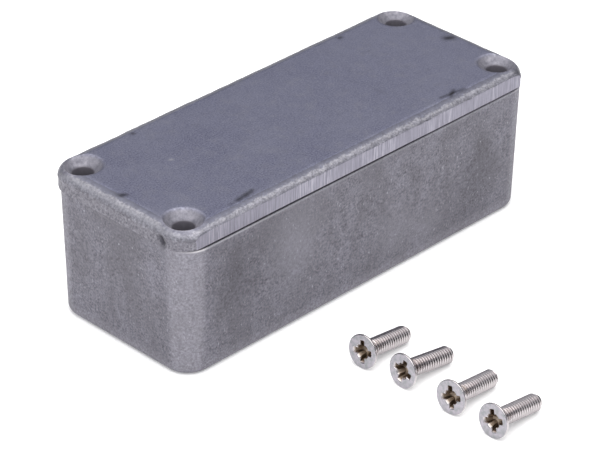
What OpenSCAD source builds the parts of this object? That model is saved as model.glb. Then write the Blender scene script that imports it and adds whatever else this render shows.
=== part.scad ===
// Die cast aluminium case with a screw-down lid, its four lid screws taken out and laid in front.
// Millimetres. The base stands on z = 0 round the origin, the length runs along X, the lid is up.

/* [Case] */
// Outside length of the closed case
case_length = 90; // [60:0.5:180]
// Outside width of the closed case
case_width = 35.5; // [26:0.5:120]
// Outside height with the lid on
case_height = 30; // [20:0.5:80]
// Wall thickness at the rim
wall = 2; // [1.5:0.1:3.5]

/* [Body casting] */
// Radius of the body's upright corners at the seam
body_corner_r = 5.5; // [3.6:0.1:9]
// Thickness of the floor
floor_t = 2; // [1.5:0.1:4]
// How far each side leans in from the seam to the base, so that the casting leaves its die
side_lean = 0.65; // [0.2:0.05:2]
// Radius of the outside edge round the base
base_edge_r = 1; // [0.5:0.1:2.5]
// Radius inside, where the walls meet the floor
floor_edge_r = 1.2; // [0.4:0.1:2]
// Bevel on the outside edge of the rim
rim_bevel = 0.25; // [0.05:0.05:0.6]

/* [Screw columns] */
// Distance of the screw holes from the end faces
hole_inset_x = 4.55; // [4:0.05:9]
// Distance of the screw holes from the long faces
hole_inset_y = 4.8; // [4:0.05:9]
// Radius of the columns that take the screws
column_r = 3.7; // [3:0.1:6]
// Radius of the fillets between columns and walls
column_fillet_r = 1.5; // [0.8:0.1:3]
// Depth of the tapped holes
tapped_depth = 14; // [8:0.5:18]

/* [Board guides] */
// Pairs of guide ribs along each long wall
guide_pairs = 3; // [1:1:5]
// Spacing of the pairs along the wall
guide_pitch = 20; // [8:0.5:30]
// Gap between the two ribs of a pair, for the edge of a circuit board
board_gap = 1.8; // [1:0.1:3]
// Thickness of each rib
guide_t = 1.1; // [0.8:0.1:2]
// How far the ribs stand out from the wall at the rim
guide_reach = 1.3; // [0.8:0.1:2.5]
// Clear space between the lid's lip and the tops of the ribs
guide_top_gap = 0.5; // [0.2:0.1:3]

/* [Lid casting] */
// Height of the lid's side, from the seam to the top
lid_side_h = 4; // [3:0.1:8]
// Thickness of the lid's plate
lid_t = 2; // [1.5:0.1:2.8]
// Radius of the lid's upright corners at the seam
lid_corner_r = 5; // [3.6:0.1:9]
// Radius of the edge round the top
lid_edge_r = 2.6; // [1:0.1:3.4]
// How far in from the side that edge starts: less than its radius, because the side is ground flat across it
lid_edge_in = 2.45; // [0.8:0.05:3.2]
// How far the lid's side leans in from the seam to the top
lid_lean = 0.1; // [0.05:0.05:0.6]
// Bevel on the lid's lower edge, above the seam
lid_bevel = 0.35; // [0.05:0.05:0.6]
// Thickness of the locating lip on the underside
lip_t = 1.2; // [0.8:0.1:2]
// How far the lip reaches down into the body
lip_h = 1.5; // [0.8:0.1:3]
// Clearance between the lip and the body's walls and columns
lip_gap = 0.35; // [0.1:0.05:0.6]
// How far the loose lid has slipped in that clearance, towards the left end
slip_left = 0.2; // [0:0.05:0.3]
// How far it has slipped towards the back
slip_back = 0.2; // [0:0.05:0.3]

/* [Screws] */
// Diameter over the thread, a little under its nominal 3.5
screw_d = 3.4; // [2.5:0.05:4]
// Length over all, head included
screw_length = 11.9; // [8:0.1:20]
// Diameter of the countersunk head
head_d = 6.45; // [5:0.05:8]
// Height of the head's straight rim
head_rim = 0.4; // [0.1:0.05:0.6]
// Full angle of the head's cone and of the sinks in the lid
sink_angle = 90; // [80:1:100]
// Bevel round the end of the shank
tip_bevel = 0.4; // [0.2:0.05:0.8]
// Clearance round the thread in the lid's holes, each side
hole_gap = 0.3; // [0.1:0.05:0.5]
// Clearance round the head in the lid's sinks, each side
head_gap = 0.45; // [0.1:0.05:0.8]
// Depth of the thread, each side, that the tapped holes leave for cutting
thread_depth = 0.25; // [0.15:0.01:0.4]

/* [Cross recess] */
// Span of the recess across the head's face
recess_span = 3.9; // [2.5:0.1:4.5]
// Width of each arm of the recess
recess_arm = 0.95; // [0.5:0.05:1.3]
// Depth of the recess
recess_depth = 1.7; // [1:0.1:2.2]

/* [Loose screws] */
// From the case's front face to the axis of the first screw
row_gap = 17.5; // [8:0.5:40]
// Spacing of the four screws in their row
row_pitch = 10.1; // [7:0.1:20]
// Where the heads lie along the case
row_x = -18.6; // [-40:0.1:20]
// How each one lies: shift along X, shift along Y, heading and roll in degrees
screw_lies = [[-0.5, 0, 1.4, 4], [0.1, 1, -2.4, 26], [0.1, -0.3, 2.7, -3], [0, 0, 0.8, -6]];

/* [Hidden] */
$fn = 96;
cast_grey = [0.50, 0.50, 0.53];
lid_grey = [0.48, 0.49, 0.54];
plated = [0.80, 0.77, 0.77];
// height of the seam above the base
seam_z = case_height - lid_side_h;
// the inside corner follows the outside one at the wall's thickness
inner_r = max(body_corner_r - wall, wall / 2);
// half sizes of the inside at the rim
inside_x = case_length / 2 - wall;
inside_y = case_width / 2 - wall;
// half distances between the screw holes
hole_x = case_length / 2 - hole_inset_x;
hole_y = case_width / 2 - hole_inset_y;
// cuts run this far past the faces that they open
over = wall / 2;
// fillets start this far inside the wall that they blend into
bite = wall / 40;
hole_d = screw_d + 2 * hole_gap;
sink_d = head_d + 2 * head_gap;
tapped_d = screw_d - 2 * thread_depth;
head_cone_h = (head_d - screw_d) / 2 / tan(sink_angle / 2);
// a screw lies on the rim of its head and on the end of its shank
lie_tilt = atan((head_d - screw_d) / 2 / (screw_length - tip_bevel - head_rim));
lie_z = sin(lie_tilt) * head_rim + cos(lie_tilt) * head_d / 2;

// Where an edge of that radius starts, in from the foot of a face that leans out by lean over h,
// if it is to run smoothly into the face.
function smooth_in(edge_r, lean, h) = edge_r / tan((90 + atan(lean / h)) / 2);

// Half section through a wall, from the middle of its corner out to the leaning face: the face stands
// at r on the height h and leans in to r - lean at the bottom. There an arc leaves the flat bottom
// edge_in before the foot and rises to the face.
module wall_section(r, lean, h, edge_r, edge_in, bevel = 0, above = 0) {
    a = atan(lean / h);
    foot = r - lean;
    mid = [foot - edge_in, edge_r];
    b = edge_r * cos(a) - edge_in * sin(a);
    up = b - sqrt(max(0, b * b - edge_in * edge_in));
    end = [foot + up * sin(a), up * cos(a)];
    difference() {
        polygon([
            [0, 0],
            [foot, 0],
            [r - bevel * tan(a), h - bevel],
            [r - bevel, h],
            [r - bevel, h + above],
            [0, h + above]
        ]);
        difference() {
            polygon([mid, end, end + [over, 0], [foot + over, -over], [mid[0], -over]]);
            translate(mid) circle(r = edge_r);
        }
    }
}

// Block with rounded upright corners whose sides are the wall section: four straight runs,
// four turned corners and the core between them, which all meet on flat faces.
module cast_block(half_x, half_y, r, lean, h, edge_r, edge_in, bevel = 0, above = 0) {
    core_x = half_x - r;
    core_y = half_y - r;
    translate([-core_x, -core_y, 0]) cube([2 * core_x, 2 * core_y, h + above]);
    for (side = [0, 1]) mirror([0, side, 0]) translate([-core_x, core_y, 0])
        rotate([90, 0, 90]) linear_extrude(2 * core_x)
            wall_section(r, lean, h, edge_r, edge_in, bevel, above);
    for (end = [0, 1]) mirror([end, 0, 0]) translate([core_x, core_y, 0])
        rotate([90, 0, 0]) linear_extrude(2 * core_y)
            wall_section(r, lean, h, edge_r, edge_in, bevel, above);
    for (end = [0, 1]) for (side = [0, 1]) mirror([end, 0, 0]) mirror([0, side, 0])
        translate([core_x, core_y, 0]) rotate_extrude(angle = 90)
            wall_section(r, lean, h, edge_r, edge_in, bevel, above);
}

// Puts its children at all four screw holes, mirrored so that +X and +Y point out to the corner.
module at_corners() {
    for (end = [0, 1]) for (side = [0, 1]) mirror([end, 0, 0]) mirror([0, side, 0])
        translate([hole_x, hole_y, 0]) children();
}

// Outline of the fillet between a column at the origin and a wall at y = reach, on the column's -X side.
// grow swells column and wall alike, so that the lip keeps its clearance round the fillet.
module fillet_outline(reach, grow = 0) {
    f = column_fillet_r;
    mid = [-sqrt(pow(column_r + f, 2) - pow(reach + bite - f, 2)), reach + bite - f];
    dir = mid / norm(mid);
    difference() {
        polygon([[0, 0], dir * (column_r + grow), mid + [0, f - grow], [0, reach + bite]]);
        translate(mid) circle(r = f - grow);
    }
}

// Outline of a column with its two fillets, seen from above.
module column_outline(grow = 0) {
    circle(r = column_r + grow);
    fillet_outline(hole_inset_y - wall, grow);
    mirror([1, -1, 0]) fillet_outline(hole_inset_x - wall, grow);
}

// Plain rounded rectangle, seen from above.
module plan(half_x, half_y, r) {
    translate([-half_x, r - half_y]) square([2 * half_x, 2 * (half_y - r)]);
    translate([r - half_x, -half_y]) square([2 * (half_x - r), 2 * half_y]);
    for (x = [r - half_x, half_x - r]) for (y = [r - half_y, half_y - r])
        translate([x, y]) circle(r = r);
}

// A guide rib that stands on the floor against a wall at y = 0, with a lead-in slope at its top.
module guide_rib() {
    top = seam_z - lip_h - guide_top_gap;
    rotate([90, 0, 90]) linear_extrude(guide_t)
        polygon([
            [-guide_reach, 0],
            [wall, 0],
            [wall, top],
            [0, top],
            [-guide_reach, top - 2 * guide_reach]
        ]);
}

module guide_pair() {
    translate([board_gap / 2, 0, 0]) guide_rib();
    translate([-board_gap / 2 - guide_t, 0, 0]) guide_rib();
}

module all_guides() {
    for (i = [0:guide_pairs - 1]) translate([(i - (guide_pairs - 1) / 2) * guide_pitch, 0, 0])
        for (side = [0, 1]) mirror([0, side, 0]) translate([0, inside_y, 0]) guide_pair();
    for (end = [0, 1]) mirror([end, 0, 0]) translate([inside_x, 0, 0]) rotate([0, 0, -90]) guide_pair();
}

// The hollow of the body, with the columns and guides left standing in it.
module hollow() {
    difference() {
        translate([0, 0, floor_t])
            cast_block(inside_x, inside_y, inner_r, side_lean, seam_z - floor_t, floor_edge_r,
                smooth_in(floor_edge_r, side_lean, seam_z - floor_t), 0, over);
        at_corners() linear_extrude(seam_z + 2 * over) column_outline();
        all_guides();
    }
}

module tapped_hole() {
    translate([0, 0, seam_z - tapped_depth]) {
        cylinder(h = tapped_depth + over, d = tapped_d);
        // the drill's point
        translate([0, 0, -tapped_d * 0.3]) cylinder(h = tapped_d * 0.3, d1 = 0, d2 = tapped_d);
    }
    // a small lead-in for the thread
    translate([0, 0, seam_z - thread_depth])
        cylinder(h = thread_depth + over, d1 = tapped_d, d2 = screw_d + 2 * over);
}

module box() {
    color(cast_grey) difference() {
        cast_block(case_length / 2, case_width / 2, body_corner_r, side_lean, seam_z, base_edge_r,
            smooth_in(base_edge_r, side_lean, seam_z), rim_bevel);
        hollow();
        at_corners() tapped_hole();
    }
}

// Inside outline of the lid's recess: it follows the walls and swings round the columns.
module recess_outline() {
    step = lip_gap + lip_t;
    difference() {
        plan(inside_x - step, inside_y - step, max(inner_r - step, wall / 4));
        at_corners() circle(r = column_r + step);
    }
}

// Outside outline of the locating lip: the inside of the body, less the clearance.
module lip_outline() {
    difference() {
        plan(inside_x - lip_gap, inside_y - lip_gap, max(inner_r - lip_gap, wall / 4));
        at_corners() column_outline(lip_gap);
    }
}

module sunk_hole() {
    cone_h = (sink_d - hole_d) / 2 / tan(sink_angle / 2);
    translate([0, 0, seam_z - over]) cylinder(h = lid_side_h + over, d = hole_d);
    translate([0, 0, case_height - cone_h])
        cylinder(h = 2 * cone_h, d1 = hole_d, d2 = 2 * sink_d - hole_d);
}

module lid() {
    color(lid_grey) translate([-slip_left, slip_back, 0]) difference() {
        union() {
            translate([0, 0, case_height]) mirror([0, 0, 1])
                cast_block(case_length / 2, case_width / 2, lid_corner_r, lid_lean, lid_side_h, lid_edge_r,
                    lid_edge_in, lid_bevel);
            translate([0, 0, seam_z - lip_h]) linear_extrude(lip_h) lip_outline();
        }
        translate([0, 0, seam_z - lip_h - over])
            linear_extrude(lip_h + over + lid_side_h - lid_t) recess_outline();
        at_corners() sunk_hole();
    }
}

// A countersunk screw with a cross recess: the face of its head at z = 0, its point up.
module screw() {
    color(plated) difference() {
        rotate_extrude() polygon([
            [0, 0],
            [head_d / 2, 0],
            [head_d / 2, head_rim],
            [screw_d / 2, head_rim + head_cone_h],
            [screw_d / 2, screw_length - tip_bevel],
            [screw_d / 2 - tip_bevel, screw_length],
            [0, screw_length]
        ]);
        intersection() {
            translate([0, 0, -recess_depth])
                cylinder(h = 2 * recess_depth, r1 = recess_span - recess_arm / 2, r2 = recess_arm / 2);
            for (turn = [0, 90]) rotate([0, 0, turn])
                translate([-recess_span / 2, -recess_arm / 2, -recess_depth])
                    cube([recess_span, recess_arm, 2 * recess_depth]);
        }
    }
}

// Screw number i, laid on its side in the row in front of the case, the head to the left.
module loose_screw(i) {
    lie = screw_lies[i];
    translate([row_x + lie[0], -case_width / 2 - row_gap - i * row_pitch + lie[1], lie_z])
        rotate([0, 0, lie[2]]) rotate([0, 90 + lie_tilt, 0]) rotate([0, 0, lie[3]]) screw();
}

box();
lid();
loose_screw(0);  // screw_1
loose_screw(1);  // screw_2
loose_screw(2);  // screw_3
loose_screw(3);  // screw_4
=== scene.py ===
import math

import bpy
import numpy as np
from mathutils import Matrix


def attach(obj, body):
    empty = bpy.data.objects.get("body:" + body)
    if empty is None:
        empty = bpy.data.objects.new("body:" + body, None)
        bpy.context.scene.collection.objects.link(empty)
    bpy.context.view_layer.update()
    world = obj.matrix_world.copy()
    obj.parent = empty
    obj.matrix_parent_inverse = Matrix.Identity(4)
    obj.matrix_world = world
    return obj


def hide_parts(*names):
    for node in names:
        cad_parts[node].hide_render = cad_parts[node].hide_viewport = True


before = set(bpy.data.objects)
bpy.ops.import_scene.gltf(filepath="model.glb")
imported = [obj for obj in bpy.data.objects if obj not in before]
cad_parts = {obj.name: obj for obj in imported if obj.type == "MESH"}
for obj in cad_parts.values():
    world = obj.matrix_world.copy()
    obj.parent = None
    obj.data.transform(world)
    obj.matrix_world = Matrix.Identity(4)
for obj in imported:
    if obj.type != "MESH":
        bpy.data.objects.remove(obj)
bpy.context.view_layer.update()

# View and studio. The case stands on a white table under one wide softbox right above it. A low grey
# curtain stands round the table, open to the camera's side, and the wall beyond it is dimmer.

MM = 0.001
AIM = np.array([0, 0, 15.0])
# the camera's directions in degrees, then its distance, its shifts to the right and down, and its lens, in mm
AZIMUTH, ELEVATION, ROLL = -45.6035, 31.2894, 0.6
DISTANCE, RIGHTWARD, DOWNWARD, LENS = 562.437, 0.59, 7.762, 182.6


def srgb(code):
    """A colour of six sRGB hex digits in linear light: c / 12.92, or ((c + 0.055) / 1.055) ^ 2.4."""
    parts = np.array([int(code[i:i + 2], 16) / 255 for i in (0, 2, 4)])
    linear = np.where(parts <= 0.04045, parts / 12.92, ((parts + 0.055) / 1.055) ** 2.4)
    return (*[float(part) for part in linear], 1.0)


def node(tree, kind, inputs=None, **settings):
    """Adds one shader node. Its inputs, by name or number, are plain values, sockets to link, or other
    nodes, of which the first output in use is linked."""
    added = tree.nodes.new("ShaderNode" + kind)
    for key, value in settings.items():
        setattr(added, key, value)
    for key, value in (inputs or {}).items():
        if isinstance(value, bpy.types.Node):
            value = next(output for output in value.outputs if output.enabled)
        if isinstance(value, bpy.types.NodeSocket):
            tree.links.new(value, added.inputs[key])
        else:
            added.inputs[key].default_value = value
    return added


def new_object(name, data):
    """A new object in the scene that holds that data."""
    made = bpy.data.objects.new(name, data)
    bpy.context.scene.collection.objects.link(made)
    return made


def view_frame(azimuth, elevation, roll):
    """Right, up and back directions of a camera that looks at the case from that azimuth and elevation."""
    a, e, r = np.radians([azimuth, elevation, roll])
    back = np.array([math.sin(a) * math.cos(e), -math.cos(a) * math.cos(e), math.sin(e)])
    right = np.cross(-back, (0, 0, 1))
    right /= np.linalg.norm(right)
    up = np.cross(right, -back)
    return math.cos(r) * right + math.sin(r) * up, math.cos(r) * up - math.sin(r) * right, back


def set_pose(placed, axes, place):
    """Puts an object at a place in metres, its own x, y and z along the three directions."""
    pose = np.eye(4)
    pose[:3, :3] = np.stack(axes, axis=1)
    pose[:3, 3] = place
    placed.matrix_world = Matrix(pose.tolist())


right, up, back = view_frame(AZIMUTH, ELEVATION, ROLL)
camera = new_object("camera", bpy.data.cameras.new("camera"))
set_pose(camera, (right, up, back), (AIM + back * DISTANCE + right * RIGHTWARD - up * DOWNWARD) * MM)
camera.data.sensor_width = 36
camera.data.lens = LENS
camera.data.clip_start, camera.data.clip_end = 0.01, 20
bpy.context.scene.camera = camera
bpy.context.scene.view_settings.view_transform = "Standard"

# the softbox, a square lamp turned to the case: degrees, then its size and distance in metres, and watts
LAMP_AZIMUTH, LAMP_ELEVATION = -45, 82
LAMP_SIZE, LAMP_DISTANCE, LAMP_POWER = 1.25, 0.75, 8.2
lamp_axes = view_frame(LAMP_AZIMUTH, LAMP_ELEVATION, 0)
softbox = new_object("softbox_above", bpy.data.lights.new("softbox_above", "AREA"))
softbox.data.shape = "RECTANGLE"
softbox.data.size, softbox.data.size_y = LAMP_SIZE, LAMP_SIZE
softbox.data.energy = LAMP_POWER
softbox.data.color = srgb("fffefb")[:3]
set_pose(softbox, lamp_axes, lamp_axes[2] * LAMP_DISTANCE)

# the room is white, and a band of it between the floor and the lamp is a grey wall, dimmer beyond the case
BEYOND = (0.94, 0.342, 0)
world = bpy.data.worlds.new("white_room")
bpy.context.scene.world = world
world.use_nodes = True
room = world.node_tree
room.nodes.clear()
direction = node(room, "TexCoord").outputs["Generated"]
height = node(room, "SeparateXYZ", {0: direction}).outputs["Z"]
behind = node(room, "VectorMath", {0: direction, 1: BEYOND}, operation="DOT_PRODUCT")
beyond, above_floor, below_lamp = [
    node(room, "MapRange", {"Value": value, "From Min": low, "From Max": high},
         interpolation_type="SMOOTHSTEP")
    for value, low, high in ((behind, 0.05, 0.45), (height, 0.18, 0.3), (height, 0.7, 0.58))]
wall = node(room, "Mix", {0: beyond, 6: srgb("c9cbd1"), 7: srgb("a0a2a8")}, data_type="RGBA")
on_wall = node(room, "Math", {0: above_floor, 1: below_lamp}, operation="MULTIPLY")
shade = node(room, "Mix", {0: on_wall, 6: srgb("ffffff"), 7: wall}, data_type="RGBA")
node(room, "OutputWorld", {0: node(room, "Background", {"Color": shade, "Strength": 1.0})})

# The table. A smooth white laminate sheet, larger than the view and just under the case's base. It glows
# a little to the camera and to mirrors, so that its lit part comes out white while its shadows stay.

TABLE_HALF, TABLE_Z, TABLE_GLOW = 6.0, -2e-5, 0.16


def new_material(name):
    """A new material and its node tree, emptied."""
    made = bpy.data.materials.new(name)
    made.use_nodes = True
    made.node_tree.nodes.clear()
    return made, made.node_tree


sheet = [(x * TABLE_HALF, y * TABLE_HALF, TABLE_Z) for x, y in ((-1, -1), (1, -1), (1, 1), (-1, 1))]
table = new_object("table", bpy.data.meshes.new("table"))
table.data.from_pydata(sheet, [], [(0, 1, 2, 3)])
laminate, tree = new_material("white_laminate")
path = node(tree, "LightPath").outputs
seen = node(tree, "Math", {0: path["Is Camera Ray"], 1: path["Is Glossy Ray"]}, operation="MAXIMUM")
seen = node(tree, "Math", {0: seen, 1: path["Is Transmission Ray"]}, operation="MAXIMUM")
lift = node(tree, "Math", {0: seen, 1: TABLE_GLOW}, operation="MULTIPLY")
matt = node(tree, "BsdfDiffuse", {"Color": srgb("f6f6f7")})
glow = node(tree, "Emission", {"Color": srgb("ffffff"), "Strength": lift})
node(tree, "OutputMaterial", {0: node(tree, "AddShader", {0: matt, 1: glow})})
table.data.materials.append(laminate)

# The curtain. Grey felt hung from a round rail, which runs round the table from 10 to 195 degrees. The metal
# mirrors it, and the camera itself looks past it.

RAIL_R, RAIL_H, RAIL_POINTS = 0.9, 0.36, 40

turn = np.radians(np.linspace(10, 195, RAIL_POINTS))
rail = np.stack([RAIL_R * np.sin(turn), -RAIL_R * np.cos(turn)], axis=1)
cloth = [(*at, z) for z in (0.0, RAIL_H) for at in rail.tolist()]
widths = [(i, i + 1, i + 1 + RAIL_POINTS, i + RAIL_POINTS) for i in range(RAIL_POINTS - 1)]
curtain = new_object("curtain", bpy.data.meshes.new("curtain"))
curtain.data.from_pydata(cloth, [], widths)
curtain.visible_camera = False
felt, tree = new_material("grey_felt")
node(tree, "OutputMaterial", {0: node(tree, "BsdfDiffuse", {"Color": srgb("5a5a5e")})})
curtain.data.materials.append(felt)

# Body of the case. One pressure die casting in aluminium: walls with draft, rounded edges, four screw
# columns and board guides inside. It was tumbled raw, so it is matt and mottled, and paler on its corners;
# its base edge and rim are also painted paler, as painted reflection and painted highlight.

# all in mm: length and width at the seam, height of the seam, upright corners, draft over that height,
# base edge, rim edge, wall, how far the screw holes lie from the middle, and the radius of their columns
CASE = np.array([90.0, 35.5])
SEAM_Z = 26.0
BODY_R = 5.5
LEAN = 0.65
BASE_R = 1.4
RIM_R = 0.22
WALL = 2.0
HOLES = np.array([40.45, 12.95])
COLUMN_R = 3.7
# spacing of the points along the outline and across top and base, and the turn in degrees at a sharp edge
BODY_STEP, BODY_CAP_STEP = 0.6, 1.5
CREASE = 34


def plan_walk(half, corner_r, step):
    """Walks once round a rounded rectangle, counter-clockwise. Gives the foot of each point on the
    rectangle through the corner centres, and its outward direction: foot + r * direction is the outline."""
    core = np.asarray(half, float) - corner_r
    feet, outs = [], []
    for quarter in range(4):
        turn = quarter * math.pi / 2
        out = np.round([math.cos(turn), math.sin(turn)], 12)
        along = np.array([-out[1], out[0]])
        reach = core @ np.abs(along)
        count = max(2, round(2 * reach / step))
        run = np.linspace(-1, 1, count + 1)[:-1, None]
        feet.append(out * core + along * reach * run)
        outs.append(np.repeat(out[None], count, axis=0))
        count = max(8, round(corner_r * math.pi / 2 / (step * 0.7)))
        angle = turn + np.linspace(0, math.pi / 2, count + 1)[:-1]
        feet.append(np.repeat(((out + along) * core)[None], count, axis=0))
        outs.append(np.stack([np.cos(angle), np.sin(angle)], axis=1))
    return np.concatenate(feet), np.concatenate(outs)


def lumps(points, size, seed):
    """A smooth random field from -1 to 1: a hashed value at each corner of a cubic lattice of that
    size in mm, blended along each axis by 3 t^2 - 2 t^3."""
    place = points / size + seed
    cell = np.floor(place)
    t = place - cell
    t = t * t * (3 - 2 * t)
    total = np.zeros(len(points))
    for corner in np.ndindex(2, 2, 2):
        weight = np.prod(np.where(corner, t, 1 - t), axis=1)
        value = np.sin((cell + corner) @ (127.1, 311.7, 74.7)) * 43758.5453
        total += weight * (value - np.floor(value))
    return 2 * total - 1


def hollows(points, rows):
    """How far the skin stands out there, in mm, which is mostly below zero: for rows of (size, seed, shift,
    depth), the sum of depth * (lumps of that size and seed - shift)."""
    return sum(depth * (lumps(points, size, seed) - shift) for size, seed, shift, depth in rows)


def grid_faces(rows, columns, climb=0):
    """Two triangles for each cell between neighbouring rings of a grid. Each ring closes on itself, or on
    the ring that is climb rows further on, as in a helix."""
    i, j = np.meshgrid(np.arange(rows - 1), np.arange(columns), indexing="ij")
    a = i * columns + j
    b = i * columns + (j + 1) % columns + climb * columns * (j == columns - 1)
    c, d = b + columns, a + columns
    return np.stack([np.stack([a, b, c], -1), np.stack([a, c, d], -1)], 2).reshape(-1, 3)


def make_surface(name, points, faces):
    """A mesh object from points in mm and triangles: points that coincide become one, and triangles
    that shrink to nothing there are left out, so that poles and seams are closed."""
    points = np.asarray(points, float).reshape(-1, 3)
    rounded = np.round(points, 5) + 0.0
    _, first, back_to = np.unique(rounded, axis=0, return_index=True, return_inverse=True)
    faces = back_to.reshape(-1)[faces]
    faces = faces[(faces[:, 0] != faces[:, 1]) & (faces[:, 1] != faces[:, 2]) & (faces[:, 2] != faces[:, 0])]
    mesh = bpy.data.meshes.new(name)
    mesh.from_pydata(points[first] * MM, [], faces)
    mesh.validate()
    return new_object(name, mesh)


def shape_with(piece, tool, how):
    """Takes a closed tool away from a closed piece (DIFFERENCE) or grows them together (UNION)."""
    change = piece.modifiers.new("shape", "BOOLEAN")
    change.operation, change.solver, change.object = how, "MANIFOLD", tool
    bpy.context.view_layer.update()
    shaped = bpy.data.meshes.new_from_object(piece.evaluated_get(bpy.context.evaluated_depsgraph_get()))
    piece.modifiers.clear()
    old = piece.data
    piece.data = shaped
    bpy.data.meshes.remove(old)
    bpy.data.objects.remove(tool)


def mesh_points(piece):
    """The piece's vertices as an array in mm."""
    flat = np.empty(3 * len(piece.data.vertices))
    piece.data.vertices.foreach_get("co", flat)
    return flat.reshape(-1, 3) / MM


def write_masks(piece, **masks):
    """Stores one number per vertex under each name, for the piece's material to read."""
    for name, values in masks.items():
        layer = piece.data.attributes.new(name, "FLOAT", "POINT")
        layer.data.foreach_set("value", np.asarray(values, np.float32))


def smooth_step(low, high, x):
    """0 below low, 1 above high, and 3 t^2 - 2 t^3 between."""
    t = np.clip((x - low) / (high - low), 0, 1)
    return t * t * (3 - 2 * t)


def cast_skin(half, corner_r, step, profile, cap_step):
    """The outside of a casting: a profile of (distance from the corner line, height) carried round the
    plan walk, and closed at both ends by rings that shrink in to the middle line. Gives the rings of
    points, and for each point its outward direction and its distance from the corner line."""
    foot, out = plan_walk(half, corner_r, step)
    core = np.asarray(half, float) - corner_r
    inward = np.append(np.arange(0, core[1], cap_step), core[1])
    shrink = (core - inward[:, None]) / core
    first, last = profile[0], profile[-1]
    growing = np.linspace(0, 1, max(2, round(first[0] / cap_step)) + 1)[1:-1]
    fading = np.linspace(1, 0, max(2, round(last[0] / cap_step)) + 1)[1:-1]
    low_run = [(first[0] * f, first[1]) for f in growing]
    high_run = [(last[0] * f, last[1]) for f in fading]
    rows = np.array(low_run + list(profile) + high_run)
    rings = [foot * shrink[::-1, None], foot + out * rows[:, 0, None, None], foot * shrink[:, None]]
    plan = np.concatenate(rings)
    height = np.concatenate([np.full(len(shrink), first[1]), rows[:, 1], np.full(len(shrink), last[1])])
    reach = np.concatenate([np.zeros(len(shrink)), rows[:, 0], np.zeros(len(shrink))])
    points = np.concatenate([plan, np.broadcast_to(height[:, None, None], plan.shape[:2] + (1,))], axis=2)
    return points, np.tile(out, (len(points), 1)), np.repeat(reach, len(out))


def arc(centre, radius, start, end, count):
    """Points on a circle from one angle to another, in degrees, both ends included."""
    angle = np.radians(np.linspace(start, end, count))
    return np.stack([centre[0] + radius * np.cos(angle), centre[1] + radius * np.sin(angle)], axis=1)


def facing_left(facing):
    """1 where the outline faces the left end, 0 on the other sides and most of the corners."""
    return smooth_step(0.75, 0.98, -facing[:, 0])


# the profile, from the base edge up the leaning wall to the rim, with more rows where the burr starts
slope = math.degrees(math.atan(LEAN / SEAM_Z))
foot_r = BODY_R - LEAN
base_in = BASE_R / math.tan(math.radians((90 + slope) / 2))
base_edge = arc((foot_r - base_in, BASE_R), BASE_R, -90, -slope, 9)
rim_edge = arc((BODY_R - RIM_R, SEAM_Z - RIM_R), RIM_R, -slope, 90, 6)
near_rim = SEAM_Z - np.array([0.8, 0.65, 0.5, 0.35])
wall_z = np.append(np.linspace(base_edge[-1, 1], SEAM_Z - 1, 44)[1:], near_rim)
wall_face = np.stack([foot_r + wall_z * LEAN / SEAM_Z, wall_z], axis=1)
body_profile = np.concatenate([base_edge, wall_face, rim_edge])
points, facing, reach = cast_skin(CASE / 2, BODY_R, BODY_STEP, body_profile, BODY_CAP_STEP)
flat = points.reshape(-1, 3)
# the walls waver inwards by hundredths of a millimetre
SWAY = ((9.0, 3, 1, 0.020), (2.2, 8, 1, 0.008))
on_wall = smooth_step(0, 2.5, flat[:, 2]) * smooth_step(SEAM_Z, near_rim[0], flat[:, 2])
flat[:, :2] += facing * (hollows(flat, SWAY) * on_wall)[:, None]
# the burr on the left end that meets the lid's overhang
BURR = 0.17
left_end = facing_left(facing)
burr = BURR * left_end * smooth_step(SEAM_Z - 1.1, SEAM_Z - 0.1, flat[:, 2]) * (reach > BODY_R - 0.7)
at_rim = (reach > BODY_R - RIM_R - 0.01) * (flat[:, 2] > SEAM_Z - 0.3)
filled = np.maximum(0, BODY_R - reach) * left_end * at_rim
flat[:, :2] += facing * (burr + filled)[:, None]
body = make_surface("body_casting", flat, grid_faces(*points.shape[:2]))


def room_inside(x, y, inset, gap, fillet):
    """How far a point inside the case is from the walls and screw columns, negative inside them. Walls
    stand inset further in, everything gap nearer, and column and wall meet in a fillet of that radius:
    max(f, min(a, b)) - length(max(f - a, 0), max(f - b, 0))."""
    half = CASE / 2 - WALL - inset - gap
    r = max(BODY_R - WALL - gap, 0.5)
    qx, qy = np.abs(x) - half[0] + r, np.abs(y) - half[1] + r
    wall = r - np.hypot(np.maximum(qx, 0), np.maximum(qy, 0)) - np.minimum(np.maximum(qx, qy), 0)
    column = np.hypot(np.abs(x) - HOLES[0], np.abs(y) - HOLES[1]) - COLUMN_R - gap
    meet = np.hypot(np.maximum(fillet - wall, 0), np.maximum(fillet - column, 0))
    return np.maximum(fillet, np.minimum(wall, column)) - meet


def inside_loop(angles, inset, gap, fillet):
    """The outline of that room: along each ray from the middle, the first distance where it ends."""
    steps = np.linspace(10, 50, 801)
    rays = np.stack([np.cos(angles), np.sin(angles)])
    clear = room_inside(steps[:, None] * rays[0], steps[:, None] * rays[1], inset, gap, fillet) > 0
    low = steps[np.argmin(clear, axis=0) - 1]
    high = low + steps[1] - steps[0]
    for _ in range(20):
        mid = (low + high) / 2
        free = room_inside(mid * rays[0], mid * rays[1], inset, gap, fillet) > 0
        low, high = np.where(free, mid, low), np.where(free, high, mid)
    return (low * rays).T


def even_angles(count, gap, fillet):
    """Ray angles that space the points evenly along the inside outline."""
    dense = np.linspace(0, 2 * math.pi, 6001)
    loop = inside_loop(dense, 0, gap, fillet)
    run = np.append(0, np.cumsum(np.linalg.norm(np.diff(loop, axis=0), axis=1)))
    return np.interp(np.linspace(0, run[-1], count + 1)[:-1], run, dense)


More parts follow.
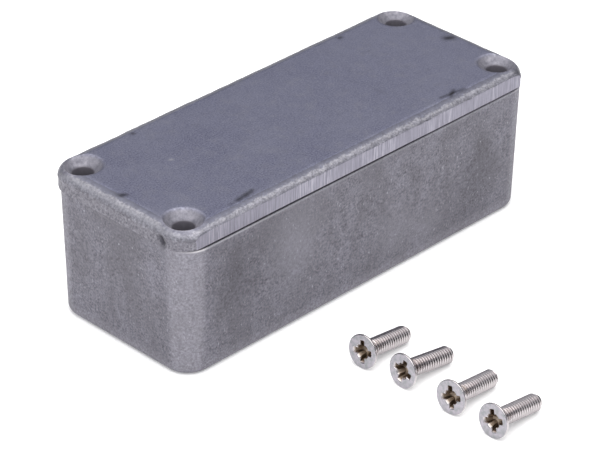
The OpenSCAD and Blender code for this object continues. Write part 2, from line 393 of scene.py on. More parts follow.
def stack_loops(name, loops, heights):
    """A closed solid from loops at rising heights, with a flat fan of triangles across both ends."""
    count = len(loops[0])
    points = np.concatenate([np.column_stack([loop, np.full(count, z)]) for loop, z in zip(loops, heights)])
    points = np.concatenate([points, [[0, 0, heights[0]], [0, 0, heights[-1]]]])
    ring = np.arange(count)
    after = (ring + 1) % count
    top = (len(loops) - 1) * count
    bottom_fan = np.stack([np.full(count, len(points) - 2), after, ring], axis=1)
    top_fan = np.stack([np.full(count, len(points) - 1), top + ring, top + after], axis=1)
    return make_surface(name, points, np.concatenate([grid_faces(len(loops), count), bottom_fan, top_fan]))


# the hollow: points round it, the fillet between wall and column, the floor's height and its fillet
INSIDE_POINTS = 560
FILLET, FLOOR_Z, FLOOR_R = 1.5, 2.0, 1.2
depth = SEAM_Z - FLOOR_Z
angles = even_angles(INSIDE_POINTS, 0, FILLET)
rise = np.append(FLOOR_R * (1 - np.cos(np.linspace(0, math.pi / 2, 6))), [4, 8, 14, 20, depth, depth + 1])
loops, heights = [], []
for h in rise:
    foot_in = FLOOR_R - math.sqrt(max(0, FLOOR_R ** 2 - (FLOOR_R - min(h, FLOOR_R)) ** 2))
    loops.append(inside_loop(angles, LEAN * max(0, 1 - h / depth) + foot_in, 0, FILLET))
    heights.append(FLOOR_Z + h)
shape_with(body, stack_loops("hollow", loops, heights), "DIFFERENCE")

# the guide ribs, in pairs on each wall: a rib's thickness, how far it reaches in, its foot, its top and how
# far that slopes, then the gap in a pair and the way to the next; a block is a five-sided face and its copy
RIB_T, RIB_REACH, RIB_FOOT, RIB_TOP, RIB_SLOPE = 1.1, 1.3, 1.5, 24.0, 2.6
RIB_GAP, RIB_PITCH = 1.8, 20
rib_face = np.array([(-RIB_REACH, RIB_FOOT), (1, RIB_FOOT), (1, RIB_TOP), (0, RIB_TOP),
                     (-RIB_REACH, RIB_TOP - RIB_SLOPE)])
k = np.arange(5)
after = (k + 1) % 5
rib_caps = [(0, 1, 2), (0, 2, 3), (0, 3, 4), (5, 7, 6), (5, 8, 7), (5, 9, 8)]
rib_faces = np.concatenate([np.stack([after + 5, after, k], 1), np.stack([k + 5, after + 5, k], 1), rib_caps])
long_wall, short_wall = CASE[1] / 2 - WALL, CASE[0] / 2 - WALL
pairs = [(turn, long_wall, middle) for turn in (90, 270) for middle in (-RIB_PITCH, 0, RIB_PITCH)]
pairs += [(0, short_wall, 0), (180, short_wall, 0)]
for turn, wall_at, middle in pairs:
    c, s = round(math.cos(math.radians(turn))), round(math.sin(math.radians(turn)))
    for start in (middle - RIB_GAP / 2 - RIB_T, middle + RIB_GAP / 2):
        near = np.column_stack([wall_at + rib_face[:, 0], np.full(5, start), rib_face[:, 1]])
        block = np.concatenate([near, near + (0, RIB_T, 0)])
        block[:, :2] = block[:, :2] @ ((c, s), (-s, c))
        shape_with(body, make_surface("rib", block, rib_faces), "UNION")


def turned(profile, count):
    """A solid of revolution about the Z axis from a profile of (radius, height) that rises from the axis."""
    angle = np.arange(count) * 2 * math.pi / count
    profile = np.asarray(profile, float)
    points = np.stack([profile[:, None, 0] * np.cos(angle), profile[:, None, 0] * np.sin(angle),
                       np.broadcast_to(profile[:, None, 1], (len(profile), count))], axis=2)
    return points, grid_faces(len(profile), count)


def bore(piece, profile, count, shift):
    """Takes the same turned shape away from a piece at each of the four screw holes."""
    points, faces = turned(profile, count)
    for x in (-HOLES[0], HOLES[0]):
        for y in (-HOLES[1], HOLES[1]):
            tool = make_surface("bore", points + (x + shift[0], y + shift[1], 0), faces)
            shape_with(piece, tool, "DIFFERENCE")


# the tapped holes, with a drill's point below and a small countersink above
TAP_R, TAP_Z, TAP_SINK = 1.45, 12.0, 0.3
tapped = [(0, TAP_Z - 0.9), (TAP_R, TAP_Z), (TAP_R, SEAM_Z + 0.05 - TAP_SINK)]
tapped += [(TAP_R + TAP_SINK, SEAM_Z + 0.05), (TAP_R + TAP_SINK, SEAM_Z + 0.5), (0, SEAM_Z + 0.5)]
bore(body, tapped, 48, (0, 0))


def round_core(at, corner_r):
    """For each point: how far it is past both corner lines, the direction of the outline there, and its
    distance from the rectangle through the corner centres."""
    core = CASE / 2 - corner_r
    past = np.min(np.abs(at[:, :2]) - core, axis=1)
    away = at[:, :2] - np.clip(at[:, :2], -core, core)
    reach = np.linalg.norm(away, axis=1)
    return past, away / np.maximum(reach, 1e-6)[:, None], reach


def spared(facing):
    """1 at the middle of the two side corners, whose x and y differ in sign: -2xy. These are painted darker,
    as painted shade against their glancing sheen, partly as corners that were rubbed less.
    """
    return smooth_step(0.2, 0.9, -2 * facing[:, 0] * facing[:, 1])


at = mesh_points(body)
past, facing, reach = round_core(at, BODY_R)
# the upright corners, where the tumbling rubbed most, and the base edge, paler: partly rubbing, partly a
# painted reflection of the white table
# less on the two side corners: painted shade against their glancing sheen, partly less rubbing
on_corner = smooth_step(-0.2, 1.6, past) * (1 - 0.8 * spared(facing))
on_corner = np.maximum(on_corner, 0.8 * smooth_step(3.4, 1.4, at[:, 2]))
# the rim, painted paler: partly burnished by the lid, partly a painted highlight of its ledge lit from above;
# most towards the left, least round the corners, and not on the left end
fading = 1 - 0.55 * smooth_step(-36, -8, at[:, 0])
fading *= 0.2 + 0.8 * smooth_step(0.68, 0.97, np.abs(facing[:, 1]))
rim_burnish_and_highlight = smooth_step(SEAM_Z - 0.45, SEAM_Z - 0.2, at[:, 2]) * smooth_step(SEAM_Z, SEAM_Z - 0.08, at[:, 2])
rim_burnish_and_highlight *= fading * (reach > BODY_R - 1) * (1 - facing_left(facing))
# patches of the front: x, z, half width, half height, and how much darker, or with a minus paler
PATCHES = np.array([(30, 11, 6, 9, 0.5), (-33, 17, 4, 5, 0.45), (-18, 17, 6, 8, -0.5), (8, 9, 5, 5, -0.3),
                    (17, 6, 5, 4, -0.3)])
spread = ((at[:, None, [0, 2]] - PATCHES[:, :2]) / PATCHES[:, 2:4]) ** 2
patch = np.sum(PATCHES[:, 4] * np.exp(-np.sum(spread, axis=2)), axis=1) * (at[:, 1] < -16)
write_masks(body, corner=on_corner, rim=rim_burnish_and_highlight, patch=patch)


def lay_over(tree, tone, layers):
    """Lays colours over a tone, one after the other. A layer is a colour and its factors, whose product is
    the share that it takes. A factor is a number, a mask or (value, a, b, c, d), which runs from c where
    the value is a to d where it is b, and from 0 to 1 where c and d are left out."""
    for colour, *factors in layers:
        share = 1.0
        for factor in factors:
            if isinstance(factor, tuple):
                factor = node(tree, "MapRange", dict(enumerate(factor)))
            share = node(tree, "Math", {0: factor, 1: share}, operation="MULTIPLY")
        colour = srgb(colour) if isinstance(colour, str) else colour
        tone = node(tree, "Mix", {0: share, 6: tone, 7: colour}, data_type="RGBA")
    return tone


def finish_piece(piece, material, crease):
    """Gives a piece its one material, and smooth shading with edges sharp where faces turn by the crease."""
    piece.data.shade_smooth()
    piece.data.set_sharp_from_angle(angle=math.radians(crease))
    piece.data.materials.clear()
    piece.data.materials.append(material)


# Raw aluminium casting, tumbled with stones: a dull grey with a slight violet cast, pitted and mottled
# at about 0.4 and 1.7 mm, cloudy and a little warmer over some 8 mm, and rubbed pale on its corners. The rim
# is paler too, partly burnish and partly painted highlight, and the base edge partly a painted reflection of
# the table.
cast, tree = new_material("aluminium_cast_tumbled")
place = node(tree, "TexCoord").outputs["Object"]
corner, rim, patch = [node(tree, "Attribute", attribute_name=name).outputs["Fac"]
                      for name in ("corner", "rim", "patch")]
# lumps of the surface: their size in mm and their roughness
grain, mottle = [
    node(tree, "TexNoise", {"Vector": place, "Scale": 1 / (size * MM), "Detail": 3.0, "Roughness": roughness})
    for size, roughness in ((0.42, 0.65), (1.7, 0.6))]
dents = node(tree, "TexVoronoi", {"Vector": place, "Scale": 1 / (0.55 * MM)}, feature="SMOOTH_F1")
# clouds and flecks, taller than they are wide: their width and height in mm
cloud_place, fleck_place = [
    node(tree, "Mapping", {"Vector": place, "Scale": (1 / (wide * MM), 1 / (wide * MM), 1 / (tall * MM))})
    for wide, tall in ((8, 16), (0.3, 0.8))]
clouds = node(tree, "TexNoise", {"Vector": cloud_place, "Scale": 1.0, "Detail": 3.0, "Roughness": 0.6})
flecks = node(tree, "TexNoise", {"Vector": fleck_place, "Scale": 1.0, "Detail": 1.0})
wear_and_sheen = lay_over(tree, srgb("8b8991"), [("a19fa7", (grain, 0.3, 0.7))])
skin = lay_over(tree, srgb("53525a"), [
    ("8c8a93", (grain, 0.3, 0.7)),
    ("93929d", (mottle, 0.35, 0.7, 0, 0.4)),
    ("656369", (clouds, 0.4, 0.62, 0, 0.55)),
    ("535157", (patch, 0, 1)),
    ("92919a", (patch, 0, -1)),
    ("b9b8c0", (flecks, 0.68, 0.78, 0, 0.5)),
    # the corners rubbed pale, and the base edge painted pale, partly a painted reflection of the white table
    (wear_and_sheen, corner, 0.5),
    # the rim: partly burnish, partly a painted highlight, brightest where it meets a corner
    ("b6b4bb", rim, 0.7),
    ("d2cfd2", rim, corner)])
dull = node(tree, "MapRange", {"Value": grain, "From Min": 0.3, "From Max": 0.7,
                               "To Min": 0.62, "To Max": 0.5})
pits = node(tree, "Math", {0: grain, 1: dents}, operation="SUBTRACT")
relief = node(tree, "Bump", {"Height": pits, "Strength": 1.0, "Distance": 0.012 * MM})
metal = node(tree, "BsdfPrincipled", {"Base Color": skin, "Metallic": 1.0, "Roughness": dull,
                                      "Normal": relief})
node(tree, "OutputMaterial", {0: metal})
finish_piece(body, cast, CREASE)
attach(body, "root")
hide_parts("box")

# Lid of the case. A flat die casting whose locating lip drops into the body; its top is smooth from the
# die, its round edge was cast rough, its long sides were ground flat, and four screw holes were sunk.

# all in mm: corners, how far it lies out of line with the body, its top, how far its long sides were cast
# proud in front and behind, its sinks and holes, its round edge and how far in that is centred, its draft
# for each mm of height, and the spacing of its points
LID_R = 5.0
SLIP = np.array([-0.2, 0.2])
TOP_Z = 30.0
PROUD = (0.52, 0.24)
SINK_R, HOLE_R = 3.675, 2.0
EDGE_R, EDGE_IN, DRAFT = 2.6, 2.45, 0.02
LID_STEP = 0.36


def long_side(facing):
    """1 where the outline faces front or back, 0 on the ends and most of the corners."""
    return smooth_step(0.72, 0.96, np.abs(facing[:, 1]))


def proud(facing):
    """How far the sides were cast beyond the width of the case, in mm: more in front than behind."""
    return np.where(facing[:, 1] < 0, *PROUD) * long_side(facing)


edge_centre = (LID_R - EDGE_IN, TOP_Z - EDGE_R)
edge_arc = arc(edge_centre, EDGE_R, 16, 90, 14)
side_z = np.linspace(SEAM_Z + 0.12, edge_arc[0, 1], 9)[:-1]
side_run = np.stack([LID_R - 0.03 - DRAFT * (side_z - SEAM_Z), side_z], axis=1)
under = [(LID_R - inset, SEAM_Z) for inset in (1.3, 1.1, 1.0, 0.6, 0.2)] + [(LID_R - 0.08, SEAM_Z + 0.02)]
lid_profile = np.concatenate([under, side_run, edge_arc])
points, facing, reach = cast_skin(CASE / 2, LID_R, LID_STEP, lid_profile, LID_STEP)
flat = points.reshape(-1, 3)
# where the lid's lower face steps up outside its seat, leaving the dark seam along the long sides
SEAM_GAP = 0.33
gap = SEAM_GAP * long_side(facing) * (1 + 0.18 * lumps(flat * (1, 1, 0), 11.0, 5))
gap *= 1 - 0.45 * smooth_step(-10, CASE[0] / 2, flat[:, 0])
# the long sides were cast proud, and are ground back to the width of the case further on
flat[:, 1] += proud(facing) * np.sign(facing[:, 1]) * reach / LID_R
low_part = smooth_step(SEAM_Z + 1.6, SEAM_Z + 0.3, flat[:, 2])
flat[:, 2] += gap * low_part * smooth_step(LID_R - 1.05, LID_R - 0.95, reach)
# and where it stays down on the burr of the left end
left_end = facing_left(facing) * (reach > LID_R - 0.21) * (flat[:, 2] < SEAM_Z + 0.1)
flat[:, :2] += facing * (np.maximum(0, LID_R - 0.03 - reach) * left_end)[:, None]
flat[:, 2] = np.where(left_end > 0.99, SEAM_Z, flat[:, 2])

# the knocks of the rough edge, in three sizes on top of each other, each twice as tall as it is wide
KNOCKS = ((1.6, 11, 0.6, 0.032), (0.75, 21, 0.5, 0.02), (6.0, 31, 0.8, 0.035))
TALL = (1, 1, 0.5)
rough = smooth_step(LID_R - 2.6, LID_R - 2.0, reach)
rough *= 1 - facing_left(facing) * smooth_step(SEAM_Z + 1.2, SEAM_Z + 0.2, flat[:, 2])
knock = hollows(flat * TALL, KNOCKS) * rough
flat[:, :2] += facing * knock[:, None]
flat[:, 2] += 0.7 * knock * smooth_step(TOP_Z - 2.2, TOP_Z - 0.5, flat[:, 2])
flat[:, 1] = np.clip(flat[:, 1], -CASE[1] / 2, CASE[1] / 2)
flat[:, :2] += SLIP

# knocks and scratches on the top: from x, y to x, y, half width, depth, and how dark it looks
MARKS = np.array([
    (-26.8, 15.2, -26.6, 15.2, 0.45, 0.05, 1.0), (-42.7, 0.55, -42.3, 0.35, 0.6, 0.06, 1.0),
    (-43.2, 1.4, -42.8, 0.9, 0.5, 0.0, 0.4), (-29.4, -14.7, -28.3, -14.5, 0.55, 0.04, 0.8),
    (-31.6, -14.9, -29.0, -14.7, 0.45, 0.03, 0.4), (-27.4, -14.5, -26.9, -14.3, 0.6, 0.05, 1.1),
    (-26.0, -14.3, -25.4, -14.0, 0.5, 0.04, 0.9), (26.2, 14.8, 26.8, 14.8, 0.42, 0.03, 1.0),
    (25.2, 7.4, 26.8, 7.2, 0.2, 0.01, 0.3), (41.0, 0.5, 41.7, 0.1, 0.85, 0.05, 1.2),
    (16.3, -4.0, 16.6, -6.0, 0.5, 0.0, 0.2), (22.8, -14.6, 28.4, -15.3, 0.4, 0.02, 0.85),
    (24.6, -15.4, 26.6, -14.2, 0.4, 0.02, 0.8), (-28.5, 3.5, -28.1, 3.5, 0.3, 0.01, -0.5)])
# the notch in the left end's rim, from y, z to y, z, its half width, its depth and its darkness, which is a
# painted shadow in the notch; and the x that it goes up to
NOTCH = np.array([(-11.6, 27.6, -12.3, 26.8, 0.62, 0.35, 1.3)])
NOTCH_X = 1.5 - CASE[0] / 2


def strokes(plane, rows):
    """For each point of a plane, exp(-(distance from the stroke / half width)^2), once times the stroke's
    depth, of which the deepest counts, and once times its darkness, which adds up."""
    a, b = rows[:, None, :2], rows[:, None, 2:4]
    along = np.clip(np.sum((plane - a) * (b - a), axis=2) / np.sum((b - a) ** 2, axis=2), 0, 1)
    fall = np.exp(-(np.linalg.norm(plane - a - along[..., None] * (b - a), axis=2) / rows[:, None, 4]) ** 2)
    return np.max(fall * rows[:, None, 5], axis=0), np.sum(fall * rows[:, None, 6], axis=0)


flat[:, 2] -= strokes(flat[:, :2], MARKS)[0] * (flat[:, 2] > TOP_Z - 0.3)
flat[:, 0] += strokes(flat[:, 1:], NOTCH)[0] * (flat[:, 0] < NOTCH_X)
lid = make_surface("lid_casting", flat, grid_faces(*points.shape[:2]))

# the locating lip under the lid: its gap to the walls, thickness, height and fillet; and the recess inside
# it: its fillet, the plate that is left above it, and the points round it
LIP_GAP, LIP_T, LIP_H, LIP_FILLET = 0.35, 1.2, 1.5, 1.15
RECESS_FILLET, PLATE, RECESS_POINTS = 0.3, 2.0, 400
inner = LIP_GAP + LIP_T
lip = inside_loop(even_angles(INSIDE_POINTS, LIP_GAP, LIP_FILLET), 0, LIP_GAP, LIP_FILLET) + SLIP
shape_with(lid, stack_loops("lip", [lip] * 2, [SEAM_Z - LIP_H, SEAM_Z + 0.6]), "UNION")
recess = inside_loop(even_angles(RECESS_POINTS, inner, RECESS_FILLET), 0, inner, RECESS_FILLET) + SLIP
shape_with(lid, stack_loops("recess", [recess] * 2, [SEAM_Z - LIP_H - 1, TOP_Z - PLATE]), "DIFFERENCE")

# the four screw holes, sunk at 90 degrees, with the burr rubbed off their edge
below = SEAM_Z - 4
throat = TOP_Z - (SINK_R - HOLE_R)
sink = [(0, below), (HOLE_R, below), (HOLE_R, throat - 0.05), (HOLE_R + 0.03, throat + 0.03)]
sink += [(HOLE_R + t, throat + t) for t in (0.4, 0.8, 1.2)]
rolled = ((-0.2, -0.22), (-0.05, -0.1), (0.12, -0.035), (0.3, -0.005), (0.4, 0.01), (0.5, 0.4))
sink += [(SINK_R + out, TOP_Z + up) for out, up in rolled] + [(0, TOP_Z + 0.4)]
bore(lid, sink, 96, SLIP)

at = mesh_points(lid)
mark = strokes(at[:, :2], MARKS)[1] * (at[:, 2] > TOP_Z - 0.6)
mark += strokes(at[:, 1:], NOTCH)[1] * (at[:, 0] < NOTCH_X)
at = at - (*SLIP, 0)
past, facing, reach = round_core(at, LID_R)
stretch = 1 + proud(facing) / LID_R
# how level the round edge is, in degrees: 0 on the upright side, 90 on the flat top
level = np.degrees(np.arctan2(at[:, 2] - edge_centre[1], np.maximum(reach / stretch - edge_centre[0], 0.001)))
# how far the cast edge would stand out there, and what was ground off it
cast_reach = np.interp(at[:, 2], [SEAM_Z, edge_arc[0, 1], *edge_arc[1:, 1]],
                       [LID_R - 0.03, edge_arc[0, 0], *edge_arc[1:, 0]]) * stretch
ground_off = (cast_reach + hollows(at * TALL, KNOCKS) - reach) * (np.abs(at[:, 1]) > CASE[1] / 2 - 0.02)
write_masks(lid, mark=mark, level=np.clip(level, 0, 90) / 90, ground=ground_off, spared=spared(facing),
            back=smooth_step(-0.45, 0.05, facing @ (0.71, 0.71)), end=smooth_step(0.75, 0.95, -facing[:, 0]),
            far_end=smooth_step(-25, 45, at[:, 0]), corner=np.clip(past / 0.8, 0, 1),
            from_hole=np.hypot(np.abs(at[:, 0]) - HOLES[0], np.abs(at[:, 1]) - HOLES[1]))

# Raw aluminium casting, satin from the die: bluish grey on top with a fine tooth, tumbled like the body on
# its sides, with a painted highlight along the crest of its round edge, partly rubbing, and upright grinding
# lines on the long sides.
satin, tree = new_material("aluminium_cast_satin")
place = node(tree, "TexCoord").outputs["Object"]
level, back, end, spared_corner, far_end, ground, from_hole, corner, mark = [
    node(tree, "Attribute", attribute_name=name).outputs["Fac"]
    for name in ("level", "back", "end", "spared", "far_end", "ground", "from_hole", "corner", "mark")]
# lumps of the surface, the finest as fine as still shows: their size in mm, detail and roughness
fine, grain, blotch, ragged, clouds = [
    node(tree, "TexNoise", {"Vector": place, "Scale": 1 / (size * MM), "Detail": detail, "Roughness": rough})
    for size, detail, rough in ((0.3, 3.0, 0.6), (0.42, 3.0, 0.65), (0.9, 4.0, 0.65), (2.4, 3.0, 0.6),
                                (9, 4.0, 0.6))]
# the grinder's upright lines, and the clusters that its coarser scratches lie in: width and height in mm
line_place, cluster_place = [
    node(tree, "Mapping", {"Vector": place, "Scale": (1 / (wide * MM), 1 / (wide * MM), 1 / (tall * MM))})
    for wide, tall in ((0.25, 7), (5, 40))]
lines = node(tree, "TexNoise", {"Vector": line_place, "Scale": 1.0, "Detail": 3.0, "Roughness": 0.7})
clusters = node(tree, "TexNoise", {"Vector": cluster_place, "Scale": 1.0, "Detail": 1.0})
# where each part of the surface lies: what it follows, where it starts and where it is whole; the lumps
# make the sinks' and the round edge's limits ragged
torn = node(tree, "Math", {0: blotch, 1: 1.6, 2: from_hole}, operation="MULTIPLY_ADD")
starting = node(tree, "Math", {0: ragged, 1: 0.12, 2: level}, operation="MULTIPLY_ADD")
on_ground, in_sink, in_throat, sink_rim, on_edge = [
    node(tree, "MapRange", {"Value": value, "From Min": low, "From Max": high},
         interpolation_type="SMOOTHSTEP")
    for value, low, high in ((ground, 0.01, 0.03), (torn, SINK_R + 1.4, SINK_R + 0.3),
                             (from_hole, HOLE_R + 0.2, HOLE_R + 0.02), (from_hole, SINK_R - 0.4, SINK_R),
                             (starting, 1.04, 0.98))]
top_tone = lay_over(tree, srgb("5f6079"), [
    ("727387", (clouds, 0.36, 0.64)),
    ("7e7f95", far_end, 0.55),
    ("9394a6", (fine, 0.3, 0.7)),
    ("98979f", (ragged, 0.5, 0.7, 0, 0.2))])
# the round edge, its tone set by how level it is, with limits that wander by its lumps; the pale middle of
# the ramp is a painted highlight across the roll, over the rough edge's own grey
wander = node(tree, "Math", {0: blotch, 1: 0.4, 2: level}, operation="MULTIPLY_ADD")
wander = node(tree, "Math", {0: ragged, 1: 0.36, 2: wander}, operation="MULTIPLY_ADD")
wander = node(tree, "Math", {0: wander, 1: 0.335}, operation="SUBTRACT")
by_level = node(tree, "ValToRGB", {0: wander})
stops = ((0.20, "8e8c94"), (0.34, "a6a5ae"), (0.46, "acabb5"), (0.56, "9998a2"), (0.65, "a09fa8"),
         (0.735, "a1a0a9"), (0.77, "787987"), (1.0, "727384"))
for position, code in stops[1:-1]:
    by_level.color_ramp.elements.new(position)
for stop, (position, code) in zip(by_level.color_ramp.elements, stops):
    stop.position, stop.color = position, srgb(code)
pits = lay_over(tree, srgb("44434b"), [("6c6b73", level)])
edge_tone = lay_over(tree, by_level, [
    (pits, (grain, 0.3, 0.7, 0.8, 0)),
    # knocks along the crest, painted bright: partly rubbing, partly painted highlight; fewer round the
    # corners
    ("c5c3c7", (blotch, 0.52, 0.64, 0, 0.7), (level, 0.3, 0.5), (level, 0.85, 0.7),
     (corner, 0, 1, 0.45, 0.15)),
    # the left end, paler lower down, and darker beside the top, where the painted highlight band is taken
    # down
    ("cbcad1", (level, 0.3, 0.45, 0, 0.27), (level, 0.66, 0.52), end),
    ("6e6f7c", (level, 0.66, 0.74, 0, 0.5), end),
    # the back and the right side, painted paler where they roll over: painted light where the roll turns away
    # from the lamp
    ("a7a7b1", (wander, 0.5, 0.7, 0, 0.85), back),
    # the two side corners, painted duller low down: painted shade against their glancing sheen, partly less
    # rubbing
    ("66656e", (level, 0.55, 0.3, 0, 0.5), spared_corner)])
ground_tone = lay_over(tree, srgb("797783"), [
    ("9d9ba7", (lines, 0.3, 0.7)),
    ("b0aeb9", (lines, 0.5, 0.6), (clusters, 0.45, 0.6, 0, 0.75))])
sink_tone = lay_over(tree, srgb("84838d"), [("a09ea7", (blotch, 0.35, 0.65))])
tone = lay_over(tree, top_tone, [
    (edge_tone, on_edge),
    (ground_tone, on_ground),
    (sink_tone, in_sink),
    ("5f6073", sink_rim, in_sink, 0.5),
    ("8b8890", in_throat),
    # the marks: dark ones above 0, and a pale one below
    ("3c3b42", (mark, 0, 4 / 3)),
    ("c6c5c9", (mark, 0, -1))])
dull = node(tree, "MapRange", {"Value": blotch, "From Min": 0.3, "From Max": 0.7,
                               "To Min": 0.5, "To Max": 0.42})
dull = node(tree, "Math", {0: in_sink, 1: 0.2, 2: dull}, operation="MULTIPLY_ADD")
# the relief in mm: the rough edge, the grinding lines and the fine tooth all over
relief = 0.0
for lump, where, depth in ((blotch, on_edge, 0.02), (lines, on_ground, 0.006), (fine, 1.0, 0.004)):
    lump = node(tree, "Math", {0: lump, 1: where}, operation="MULTIPLY")
    relief = node(tree, "Math", {0: lump, 1: depth, 2: relief}, operation="MULTIPLY_ADD")
relief = node(tree, "Bump", {"Height": relief, "Strength": 1.0, "Distance": MM})
metal = node(tree, "BsdfPrincipled", {"Base Color": tone, "Metallic": 1.0, "Roughness": dull,
                                      "Normal": relief})
node(tree, "OutputMaterial", {0: metal})
finish_piece(lid, satin, CREASE)
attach(lid, "root")
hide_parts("lid")

# The four lid screws, taken out and laid in a row. Countersunk steel screws, 3.5 x 12 mm, with a headed
# blank, rolled thread and punched cross recess with eight points, bright plated.

# all in mm: the head's radius and the height of its rim, the thread's outer radius, the screw's length, the
# thread's pitch and core radius, and where the thread starts and ends
HEAD_R, HEAD_RIM, SHANK_R, LENGTH = 3.2, 0.42, 1.68, 11.85
PITCH, CORE_R = 0.6, 1.33
THREAD_FROM, THREAD_TO = 2.15, LENGTH - 0.42
# the thread's full height before its crest and root are cut flat, and how much is cut off the root
THREAD_H, ROOT_CUT = 0.52, 0.10
# points round the screw, rings of points in one pitch, and the turn in degrees at a sharp edge
ROUND = 96
PER_TURN = 12
SCREW_CREASE = 40


def thread_radius(phase):
    """Radius over one pitch of a 60 degree thread: a triangle wave with its crest and root cut flat."""
    wave = 1 - np.abs(2 * (phase % 1) - 1)
    return CORE_R + np.clip(wave * THREAD_H - ROOT_CUT, 0, SHANK_R - CORE_R)


def screw_surface(start):
    """The screw's outside, its face at z = 0 and its point up: rings of a turned head, then a helical
    strip whose ring k lies k * pitch / 12 + pitch * (angle / turn + start) past the thread's start and is
    held between its two ends, then the turned point."""
    angle = np.arange(ROUND) * 2 * math.pi / ROUND
    head = [(r, 0) for r in (0, 0.6, 1.2, 1.8, 2.4, 2.8, 2.95)]
    head += list(arc((HEAD_R - 0.16, 0.165), 0.16, -80, 0, 7))
    head += [(HEAD_R, HEAD_RIM - 0.05), (HEAD_R - 0.03, HEAD_RIM)]
    head += [(HEAD_R - 0.03 - t, HEAD_RIM + t) for t in (0.3, 0.6, 0.9, 1.2, 1.35)]
    head += [(SHANK_R + 0.04, 1.92), (SHANK_R - 0.08, 2.03), (CORE_R, THREAD_FROM)]
    tip = [(CORE_R, THREAD_TO), (CORE_R - 0.02, LENGTH - 0.18), (CORE_R - 0.16, LENGTH)]
    tip += [(0.6, LENGTH), (0, LENGTH)]
    count = math.ceil((THREAD_TO - THREAD_FROM) / PITCH) * PER_TURN + PER_TURN
    k = np.arange(-2 * PER_TURN, count + PER_TURN)[:, None]
    z = THREAD_FROM + k * PITCH / PER_TURN + PITCH * (angle / (2 * math.pi) + start % 1)
    z = np.clip(z, THREAD_FROM, THREAD_TO)
    fade = smooth_step(THREAD_FROM, THREAD_FROM + 0.35, z) * smooth_step(THREAD_TO, THREAD_TO - 0.25, z)
    r = CORE_R + (thread_radius(np.broadcast_to(k / PER_TURN, z.shape)) - CORE_R) * fade
    strip = np.stack([r * np.cos(angle), r * np.sin(angle), z], axis=2)
    strip_faces = grid_faces(len(strip) - PER_TURN, ROUND, PER_TURN)
    parts = [turned(head, ROUND), (strip, strip_faces), turned(tip, ROUND)]
    points = [part.reshape(-1, 3) for part, _ in parts]
    first = np.cumsum([0] + [len(part) for part in points[:-1]])
    return np.concatenate(points), np.concatenate([faces + at for (_, faces), at in zip(parts, first)])


# the recess's four long arms and the four short ones between them: length, half width, how much narrower
# it gets for each mm of depth, and the directions of its lines
ARMS = ((2.15, 0.52, 0.12, (0, math.pi / 2)), (1.5, 0.42, 0.10, (math.pi / 4, 3 * math.pi / 4)))
ARM_TAPER, ARM_FLARE, ARM_POINT = 0.5, 0.07, 1.75


def recess_tool():
    """The punch for the recess: at each depth, its reach in direction t is the farthest of eight arms, where
    an arm reaches the lesser of its length and half its width over |sin(t - arm)|; all taper to a point."""
    t = np.radians(np.arange(0, 360, 1.5))
    depths = [-0.4, -0.02, 0.0, 0.06, 0.5, 1.0, 1.4, 1.62, ARM_POINT]
    loops = []
    for depth in depths:
        flare = ARM_FLARE * smooth_step(0.08, -0.02, depth)
        reaches = []
        for length, half_width, narrower, directions in ARMS:
            arm = length - ARM_TAPER * max(depth, 0) + flare
            side = half_width - narrower * max(depth, 0) + flare
            if depth == ARM_POINT:
                arm, side = 0.02, 0.02
            reaches += [np.minimum(arm, side / np.maximum(np.abs(np.sin(t - a)), 1e-3)) for a in directions]
        reach = np.max(reaches, axis=0)
        loops.append(np.stack([reach * np.cos(t), reach * np.sin(t)], 1))
    return stack_loops("punch", loops, depths)


def turn_about(axis, degrees):
    """Rotation matrix about the Y or the Z axis."""
    c, s = math.cos(math.radians(degrees)), math.sin(math.radians(degrees))
    about_y, about_z = [[c, 0, s], [0, 1, 0], [-s, 0, c]], [[c, -s, 0], [s, c, 0], [0, 0, 1]]
    return np.array(about_y if axis == "Y" else about_z)


# Nickel plated steel: bright, faintly warm, with tiny waves from the barrel it was plated in. The recess is
# dull brown, partly its own tone and partly painted shade; the thread's grooves are darker with painted
# shade; the face is duller, partly its finish and partly a painted dimming of the table that it mirrors.
plated, tree = new_material("nickel_plated_steel")
place = node(tree, "TexCoord").outputs["Object"]
deep, groove, face = [node(tree, "Attribute", attribute_name=name).outputs["Fac"]
                      for name in ("deep", "groove", "face")]
waves, fine = [node(tree, "TexNoise", {"Vector": place, "Scale": 1 / (size * MM), "Detail": 2.0})
               for size in (0.7, 0.12)]
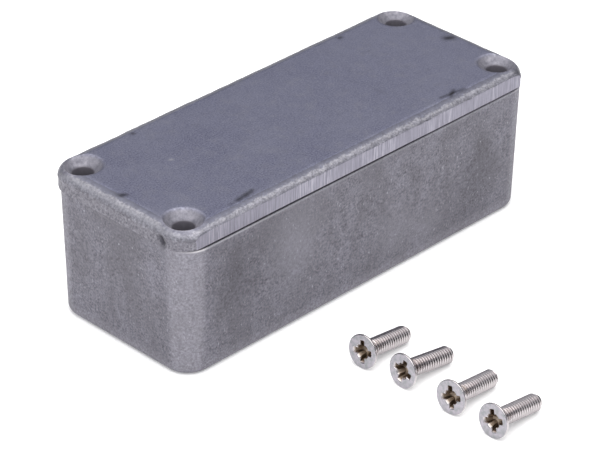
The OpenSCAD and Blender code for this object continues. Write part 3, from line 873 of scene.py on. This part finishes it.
# the face: duller, partly its struck finish and partly painted darker, a painted dimming of the bright table
# that it mirrors
face_finish_and_shade = lay_over(tree, srgb("8f9093"), [("a7a2aa", (waves, 0.35, 0.65))])
tone = lay_over(tree, srgb("b4aeb0"), [
    ("cfcacb", waves),
    # painted shade in the thread's grooves
    ("6a6060", groove),
    (face_finish_and_shade, face),
    # the recess: dull brown, partly its own tone and partly painted shade
    ("94877a", deep)])
shine = node(tree, "MapRange", {"Value": fine, "To Min": 0.1, "To Max": 0.24})
shine = node(tree, "Math", {0: deep, 1: 0.15, 2: shine}, operation="MULTIPLY_ADD")
height = node(tree, "Math", {0: waves, 1: 3.0, 2: fine}, operation="MULTIPLY_ADD")
relief = node(tree, "Bump", {"Height": height, "Strength": 1.0, "Distance": 0.002 * MM})
metal = node(tree, "BsdfPrincipled", {"Base Color": tone, "Metallic": 1.0, "Roughness": shine,
                                      "Normal": relief})
node(tree, "OutputMaterial", {0: metal})

# each screw lies on its head's rim and on the end of its thread
lie_tilt = math.degrees(math.atan((HEAD_R - SHANK_R) / (LENGTH - 0.4 - HEAD_RIM)))
lie_z = math.sin(math.radians(lie_tilt)) * HEAD_RIM + math.cos(math.radians(lie_tilt)) * HEAD_R
# x and y of the middle of its head's face, its heading, and how far it is rolled, in mm and degrees
LIES = ((-19.1, -35.25, 1.4, -9), (-18.5, -44.35, -2.4, 11), (-18.5, -55.75, 2.7, -15),
        (-18.6, -65.55, 0.8, -18))
# the part of a turn by which each screw's thread starts further on than the last one's
THREAD_START = 0.37
for number, (x, y, heading, roll) in enumerate(LIES, 1):
    points, faces = screw_surface(number * THREAD_START)
    screw = make_surface("lid_screw_%d" % number, points, faces)
    shape_with(screw, recess_tool(), "DIFFERENCE")
    at = mesh_points(screw)
    z, r = at[:, 2], np.hypot(at[:, 0], at[:, 1])
    in_recess = smooth_step(0.03, 0.25, z) * (r < 2.1) * (z < 1.8)
    # the thread's grooves, which take painted shade
    in_groove = 0.8 * smooth_step(SHANK_R - 0.12, CORE_R, r) * (z > 2.1) * (z < LENGTH - 0.2)
    write_masks(screw, deep=in_recess, groove=in_groove, face=smooth_step(0.08, 0.02, z))
    lying = turn_about("Z", heading) @ turn_about("Y", 90 + lie_tilt) @ turn_about("Z", roll)
    laid = at @ lying.T + (x, y, lie_z)
    screw.data.vertices.foreach_set("co", (laid * MM).ravel())
    screw.data.update()
    finish_piece(screw, plated, SCREW_CREASE)
    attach(screw, "root")
    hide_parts("screw_%d" % number)
